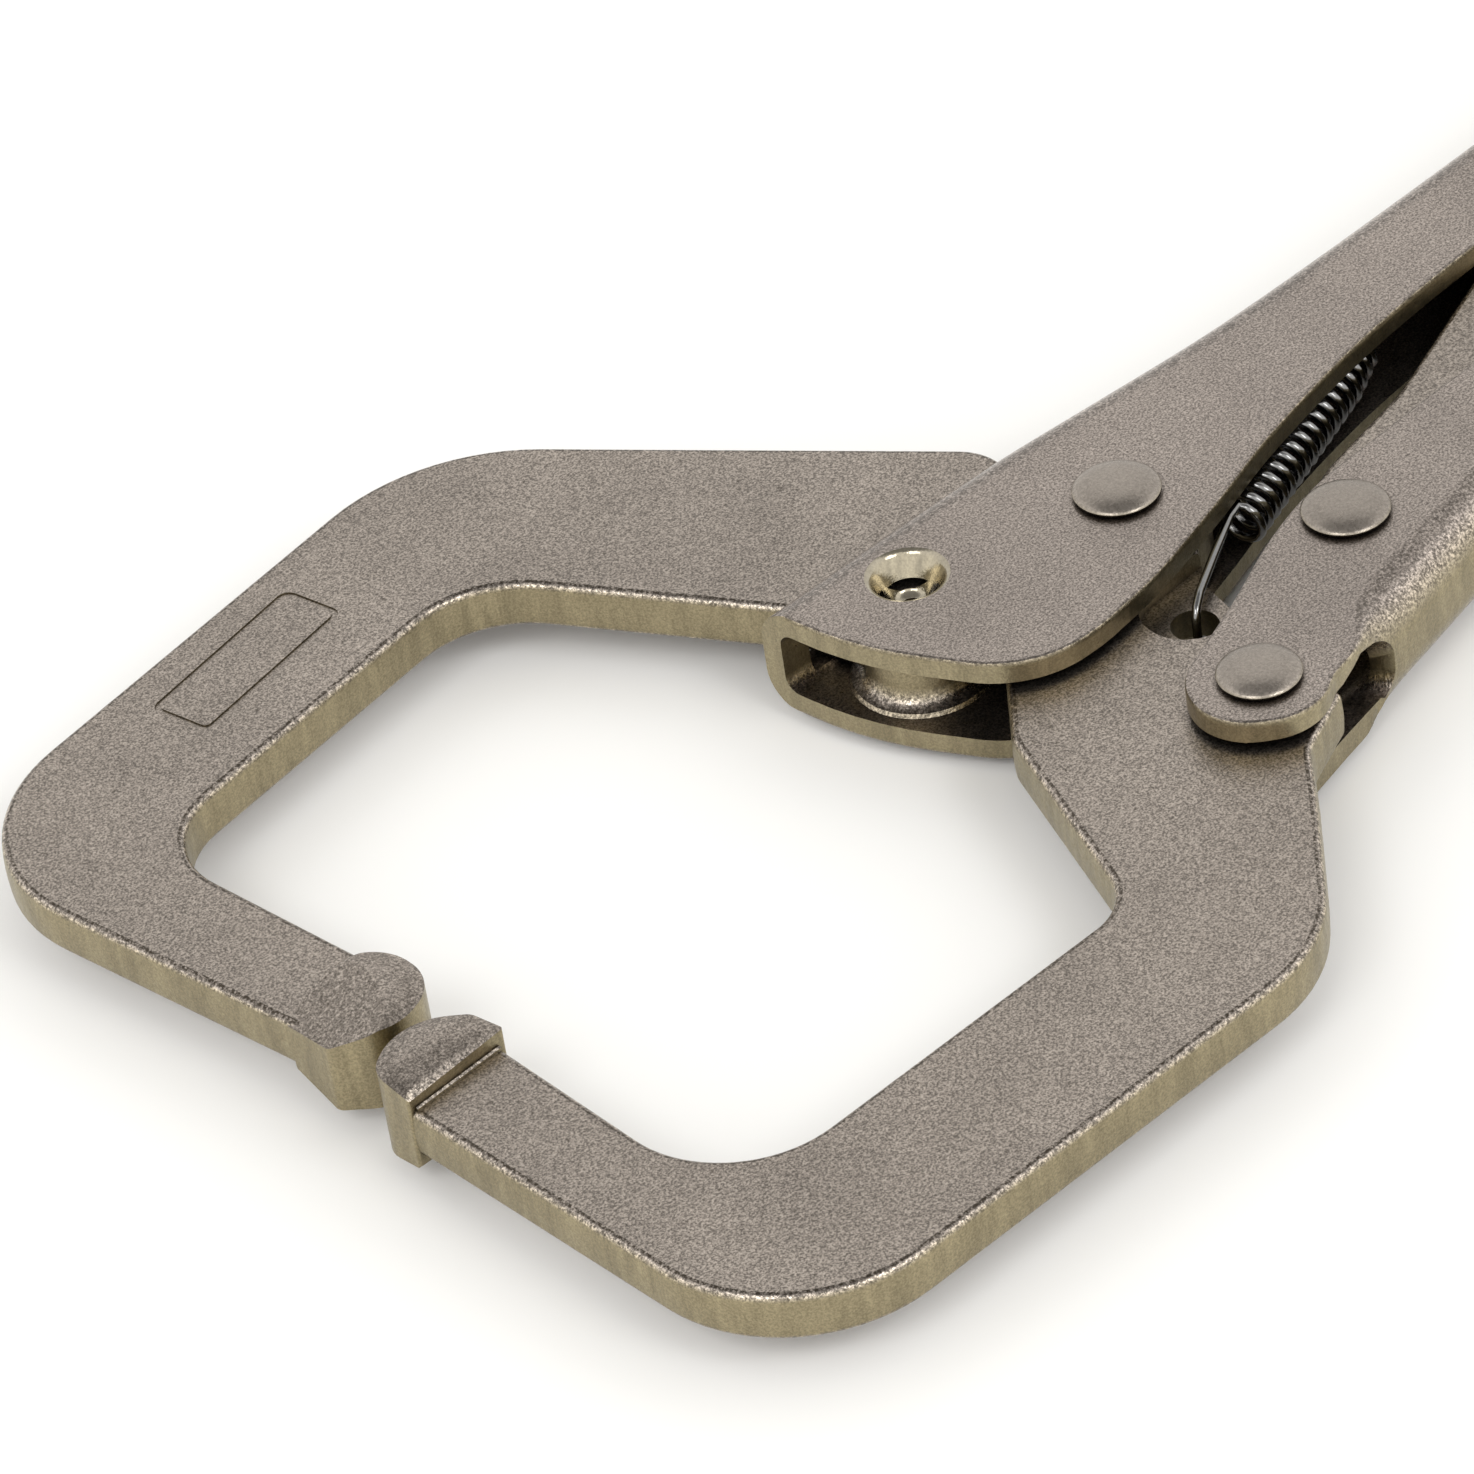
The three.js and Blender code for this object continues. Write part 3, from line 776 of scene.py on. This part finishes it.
fixed_web = smooth([
    (-21.8, 8.6), (-11, 8.9), (-2, 8.9), (6, 8.5), (15, 8.1),
    (25, 8.3), (39, 9.0), (55, 10.0), (70, 10.8), (85.8, 11.3),
])
fixed_front = rounded([(-21.8, 8.6), (-20.9, 1.0, 24), (-15.5, -9.1, 7), (-10, -9.0)], closed=False)[1:]
fixed_open = smooth([
    (-9, -8.9), (-4, -8.0), (3, -5.9), (10, -3.6), (20, -1.3),
    (31, 0), (45, 0.8), (60, 1.5), (74, 2.6), (86.3, 3.3),
])
fixed_handle = channel("fixed_handle_channel", fixed_web[::-1], fixed_front + fixed_open, FIXED_BEND)
fixed_handle.data.materials.append(PRESSED)
combine(fixed_handle, swage_cutter())
drill(fixed_handle, JAW_PIVOT)
wide_web = [Vector((-40, 8.1))] + fixed_web + [Vector((100, 11.9))]
open_side = [Vector((100, -30)), Vector((-40, -30))]
combine(fixed_handle, channel_cavity("cavity", wide_web, open_side, FIXED_BEND))
arm_slot = rounded([(-19.5, 6), (-0.1, 6), (-0.1, 14), (-19.5, 14)])
combine(fixed_handle, simple_plate("arm_slot", arm_slot, -ARM_HALF - GAP, ARM_HALF + GAP))
rear_start = BARREL_END - 0.4
rear = [(0, rear_start), (20, rear_start), (20, rear_start + 20), (0, rear_start + 20)]
combine(fixed_handle, turned("rear", rear, to_world=on_screw))
barrel = [
    (0, BARREL_START), (CHANNEL_HALF - 0.4, BARREL_START), (CHANNEL_HALF, BARREL_START + 0.4),
    (CHANNEL_HALF, BARREL_END - 0.5), (CHANNEL_HALF - 0.5, BARREL_END), (0, BARREL_END),
]
combine(fixed_handle, turned("barrel", barrel, to_world=on_screw), "UNION")
bore = [
    (0, BARREL_START - THROUGH), (SCREW_RADIUS + GAP, BARREL_START - THROUGH),
    (SCREW_RADIUS + GAP, BARREL_END + THROUGH), (0, BARREL_END + THROUGH),
]
combine(fixed_handle, turned("bore", bore, to_world=on_screw))
finish_piece(fixed_handle, PRESSED, "fixed_handle", "fixed_handle")

# ---- lever handle ----

lever_web = smooth([
    (-2.4, -22.5), (5, -20.8), (12, -19.1), (20, -17.4), (32, -15.8),
    (46, -15.3), (60, -16.5), (74, -19.4), (88.7, -23.2),
])
lever_open = smooth([
    (-3.7, -13.6), (2.6, -10.8), (8, -9.3), (14, -8.8), (20, -8.4),
    (32, -8.0), (46, -8.3), (60, -9.9), (74, -12.8), (87.2, -16.2),
])
lever_front = rounded([
    (-2.4, -22.5), (-4.4, -23.0, 2), (-7.6, -24.9, 4.0),
    (-12.6, -21, 4.0), (-10.8, -16.4, 4.2), (-3.7, -13.6),
], closed=False)[1:-1]
ARCH_START = -20
ARCH_FLOOR = -2.1
arch = rounded([
    (ARCH_START, ARCH_FLOOR), (2.2, ARCH_FLOOR, 2), (2.2, 2.7, 2.2),
    (-1.4, 3.0, 1), (-3.6, 2.3), (ARCH_START, 2.1),
])
lower_ear_edge = rounded([
    (1.6, -21.6), (0.3, -21.45, 3), (-3.2, -22.25, 6), (-6.5, -23.1, 6), (-13, -24.8), (-13, -31), (1.6, -31),
])


def ear_fade(point):
    """The bend runs out where the web ends and the flat ears begin."""
    return max(0.0, min(1.0, (point.x + 1.0) / 4.0))


def arch_cutter():
    """The opening behind the ears, which flares outwards through the sheet of the web."""
    rings = []
    for y, length, height in ((-31, 1, 1), (-22.2, 1, 1), (-20.2, 0.945, 0.74), (-17.5, 0.945, 0.74)):
        ring = []
        for point in arch:
            x = ARCH_START + (point.x - ARCH_START) * length
            z = ARCH_FLOOR + (point.y - ARCH_FLOOR) * height
            ring.append((x, y, z))
        rings.append(ring)
    return loft("arch", rings)


lever_edge = lever_front + lever_open
lever_handle = channel("lever_handle_channel", lever_web[::-1], lever_edge, LEVER_BEND, ear_fade)
wide_lever_web = [Vector((-20, -27.0))] + lever_web[1:] + [Vector((100, -26.2))]
lever_open_side = [Vector((100, 10)), Vector((-20, 10))]
combine(lever_handle, channel_cavity("cavity", wide_lever_web, lever_open_side, LEVER_BEND))
combine(lever_handle, arch_cutter())
combine(lever_handle, simple_plate("lower_ear_edge", lower_ear_edge, -5, -2.0))
for pivot in (LEVER_PIVOT, LINK_PIVOT, RELEASE_PIVOT):
    drill(lever_handle, pivot)
finish_piece(lever_handle, PRESSED, "lever_handle", "lever_handle")

# ---- toggle link and release lever ----

small_edge = both_halves(edge_profile(BOSS_HALF, 0.4, 0.03))
link_end = Vector(on_screw(0, 0, -LINK_TRAVEL_GAP - LINK_END_RADIUS)[:2])
link_front = Vector(LINK_PIVOT)
link_axis = (link_end - link_front).normalized()
link_side = Vector((-link_axis.y, link_axis.x))
link_length = (link_end - link_front).length


def on_link(along, across):
    """A point given along and across the toggle link."""
    point = link_front + link_axis * along + link_side * across
    return (point.x, point.y)


link_far = link_length + LINK_END_RADIUS
link_shape = [
    (-LINK_RADIUS, LINK_RADIUS, LINK_RADIUS - 0.05), (6, LINK_RADIUS, 4), (14, 2.6, 6),
    (link_far, LINK_END_RADIUS, LINK_END_RADIUS - 0.05),
]
link_outline = rounded(
    [(*on_link(along, -across), radius) for along, across, radius in link_shape]
    + [(*on_link(along, across), radius) for along, across, radius in reversed(link_shape)]
)
toggle_link = plate("toggle_link_forging", link_outline, small_edge)
drill(toggle_link, LINK_PIVOT)
finish_piece(toggle_link, FORGED, "toggle_link", "toggle_link")

release_outline = rounded([
    (34.2, -6.6, 1), (36.5, -5.6, 1), (44, -8.6, 4), (58, -8.9, 10), (76, -10.4, 14), (90.6, -13.0, 1),
    (90.2, -15.4, 1), (72, -12.9, 12), (54, -13.2, 2), (48, -13.2, 2), (38, -9.4, 4),
])
release_lever = plate("release_lever_stamping", release_outline, small_edge)
drill(release_lever, RELEASE_PIVOT)
finish_piece(release_lever, PRESSED, "release_lever", "release_lever")

# ---- adjusting screw: a cut thread and a straight knurl ----


THREAD_DEPTH = 0.36
KNURL_DEPTH = 0.28
NECK_RADIUS = SCREW_RADIUS - 0.45
RECESS_RADIUS = 2.1
RECESS_DEPTH = 3
SCREW_STEPS = 72


def screw_rows():
    """(radius, distance, kind) of each row of points, from the tip of the screw to the knob's end."""
    rows = [(0.0, 0.0, "flat"), (1.3, 0.0, "flat"), (1.6, 0.3, "flat")]
    distance = 0.6
    while distance < BARREL_END + 0.6:
        rows.append((SCREW_RADIUS, distance, "thread"))
        distance += THREAD_PITCH / 8
    return rows + [
        (NECK_RADIUS, BARREL_END + 0.9, "flat"),
        (NECK_RADIUS, KNOB_START, "flat"),
        (KNOB_RADIUS - 0.75, KNOB_START, "flat"),
        (KNOB_RADIUS - 0.1, KNOB_START + 0.65, "flat"),
        (KNOB_RADIUS, KNOB_START + 0.8, "knurl"),
        (KNOB_RADIUS, KNOB_END - 1.0, "knurl"),
        (KNOB_RADIUS - 0.1, KNOB_END - 0.85, "flat"),
        (KNOB_RADIUS - 0.9, KNOB_END, "flat"),
        (RECESS_RADIUS + 0.2, KNOB_END, "flat"),
        (RECESS_RADIUS, KNOB_END - 0.2, "flat"),
        (RECESS_RADIUS, KNOB_END - RECESS_DEPTH, "flat"),
        (0.0, KNOB_END - RECESS_DEPTH, "flat"),
    ]


def screw_mesh():
    """The whole screw as one skin, with the thread and the knurl in its radius."""
    verts = []
    grid = []
    for radius, along, kind in screw_rows():
        if radius == 0:
            verts.append(on_screw(0, 0, along))
            grid.append([len(verts) - 1] * SCREW_STEPS)
            continue
        row = []
        for step in range(SCREW_STEPS):
            angle = 2 * math.pi * step / SCREW_STEPS
            reach = radius
            if kind == "thread":
                phase = (along / THREAD_PITCH - angle / (2 * math.pi)) % 1
                reach = radius - THREAD_DEPTH * abs(2 * phase - 1)
            if kind == "knurl" and step % 3 == 0:
                reach = radius - KNURL_DEPTH
            verts.append(on_screw(reach * math.cos(angle), reach * math.sin(angle), along))
            row.append(len(verts) - 1)
        grid.append(row)
    return mesh_object("adjusting_screw_turned", verts, skin(grid))


adjusting_screw = screw_mesh()
finish_piece(adjusting_screw, SCREW_METAL, "adjusting_screw", "adjusting_screw", 25)

# ---- rivets ----


def rivet_piece(name, centre, body, node, head):
    """A rivet with a low domed head on each side."""
    seat = CHANNEL_HALF + 0.05
    top = CHANNEL_HALF + GAP + RIVET_HEAD_HEIGHT
    rim = seat + 0.3
    head_profile = [(RIVET_SHANK, seat), (head - 0.25, seat), (head - 0.08, seat + 0.1), (head, rim)]
    for share in (0.985, 0.95, 0.88, 0.75, 0.6, 0.4, 0.2, 0.0):
        head_profile.append((head * share, rim + (top - rim) * (1 - share**3) ** 0.7))
    profile = [(r, -z) for r, z in reversed(head_profile)] + head_profile
    finish_piece(turned(name, profile, centre), RIVET_METAL, body, node, 40)


rivet_piece("jaw_rivet", JAW_PIVOT, "fixed_handle", "jaw_pivot_rivet", RIVET_HEAD)
rivet_piece("lever_rivet", LEVER_PIVOT, "moving_jaw", "lever_pivot_rivet", RIVET_HEAD - 0.15)
rivet_piece("link_rivet", LINK_PIVOT, "lever_handle", "link_pivot_rivet", RIVET_HEAD)
rivet_piece("release_rivet", RELEASE_PIVOT, "lever_handle", "release_pivot_rivet", RIVET_HEAD)

# ---- tension spring ----

COIL_START = Vector((5.2, -4.9, 0))
COIL_END = Vector((22.5, 1.6, 0))
COIL_RADIUS = 1.45
WIRE_RADIUS = 0.29
COIL_PITCH = 1.1


def spring_path():
    """From the hook in the jaw's hole, around the coil, to the straight end in the fixed handle."""
    axis = (COIL_END - COIL_START).normalized()
    side = Vector((-axis.y, axis.x, 0))
    length = (COIL_END - COIL_START).length
    turns = length / COIL_PITCH
    path = [
        Vector((hole_x + 0.1, hole_y, -1.2)), Vector((hole_x + 0.2, hole_y + 0.1, 0.6)),
        Vector((hole_x + 0.6, hole_y + 0.4, 1.15)), Vector((hole_x + 1.5, hole_y + 1.0, 1.45)),
        Vector((0.9, -7.3, 1.5)), Vector((4.0, -5.45, 1.5)),
    ]
    steps = int(turns * 16)
    for step in range(steps + 1):
        share = step / steps
        angle = math.pi / 2 + 2 * math.pi * turns * share
        taper = 1 - 0.35 * max(0.0, (share - 0.8) / 0.2)
        centre = COIL_START + axis * (length * share)
        outward = side * math.cos(angle) + Vector((0, 0, 1)) * math.sin(angle)
        path.append(centre + outward * COIL_RADIUS * taper)
    path += [Vector((24.5, 2.4, 0.2)), Vector((28, 3.4, 0)), Vector((33, 4.6, 0))]
    return path


spring = tube("tension_spring", spring_path(), WIRE_RADIUS)
finish_piece(spring, SPRING_METAL, None, "jaw_spring", 60)
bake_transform(spring)

# ---- floor, light and camera ----

FLOOR_HALF = 3.0
floor_corners = [(x * FLOOR_HALF, y * FLOOR_HALF, 0) for x, y in ((-1, -1), (1, -1), (1, 1), (-1, 1))]
floor_mesh = bpy.data.meshes.new("floor")
floor_mesh.from_pydata(floor_corners, [], [(0, 1, 2, 3)])
floor = bpy.data.objects.new("floor", floor_mesh)
bpy.context.scene.collection.objects.link(floor)
floor_material = bpy.data.materials.new("pale_floor")
floor_material.use_nodes = True
floor_shader = floor_material.node_tree.nodes["Principled BSDF"]
floor_shader.inputs["Base Color"].default_value = (0.93, 0.93, 0.92, 1)
floor_shader.inputs["Roughness"].default_value = 0.7
floor_shader.inputs["Specular IOR Level"].default_value = 0.1
floor_mesh.materials.append(floor_material)

# The sky is a little dimmer on the side away from the camera and dark right overhead.
FAR_SIDE = (0.588, 0.809, 0.0)
world = bpy.data.worlds.new("studio")
bpy.context.scene.world = world
world.use_nodes = True
background = world.node_tree.nodes["Background"]
sky = Graph(world.node_tree)
direction = sky.nodes.new("ShaderNodeTexCoord").outputs["Generated"]
far_side = sky.nodes.new("ShaderNodeVectorMath")
far_side.operation = "DOT_PRODUCT"
far_side.inputs[1].default_value = FAR_SIDE
sky.join(direction, far_side.inputs[0])
near_glow = sky.remap(far_side.outputs["Value"], 0.1, 0.55, 1.3, 1.1, "SMOOTHSTEP")
dark_top = sky.remap(sky.height_of(direction), 0.80, 0.93, 1.0, 0.3, "SMOOTHSTEP")
sky.join(sky.math("MULTIPLY", near_glow, dark_top), background.inputs["Strength"])
background.inputs["Color"].default_value = (1.0, 0.985, 0.96, 1)


def softbox(name, azimuth, elevation, distance, size, power):
    """A rectangular lamp that points at the clamp."""
    light = bpy.data.lights.new(name, "AREA")
    light.shape = "RECTANGLE"
    light.size, light.size_y = size
    light.energy = power
    obj = bpy.data.objects.new(name, light)
    bpy.context.scene.collection.objects.link(obj)
    a = math.radians(azimuth)
    e = math.radians(elevation)
    obj.location = Vector((math.cos(e) * math.cos(a), math.cos(e) * math.sin(a), math.sin(e))) * distance
    obj.rotation_euler = (-obj.location).to_track_quat("-Z", "Y").to_euler()


softbox("key", -160, 48, 1.6, (0.7, 0.5), 3.8)
softbox("fill", -85, 45, 1.6, (0.6, 0.5), 4.0)

VIEW_AZIMUTH = math.radians(-126.14)
VIEW_ELEVATION = math.radians(38.9)
VIEW_ROLL = math.radians(9.2)
VIEW_DISTANCE = 0.4770
VIEW_TARGET = Vector((-0.04427, 0.00411, 0.0046))
toward_camera = Vector((
    math.cos(VIEW_ELEVATION) * math.cos(VIEW_AZIMUTH),
    math.cos(VIEW_ELEVATION) * math.sin(VIEW_AZIMUTH),
    math.sin(VIEW_ELEVATION),
))
level_right = (-toward_camera).cross(Vector((0, 0, 1))).normalized()
level_up = level_right.cross(-toward_camera)
camera_up = level_up * math.cos(VIEW_ROLL) + level_right * math.sin(VIEW_ROLL)
camera_right = level_right * math.cos(VIEW_ROLL) - level_up * math.sin(VIEW_ROLL)
camera_data = bpy.data.cameras.new("camera")
camera_data.lens = 195.4
camera_data.sensor_width = 36
camera_data.clip_start = 0.01
camera = bpy.data.objects.new("camera", camera_data)
bpy.context.scene.collection.objects.link(camera)
turn = Matrix((camera_right, camera_up, toward_camera)).transposed().to_4x4()
camera.matrix_world = Matrix.Translation(VIEW_TARGET + toward_camera * VIEW_DISTANCE) @ turn
bpy.context.scene.camera = camera
bpy.context.scene.view_settings.view_transform = "Standard"
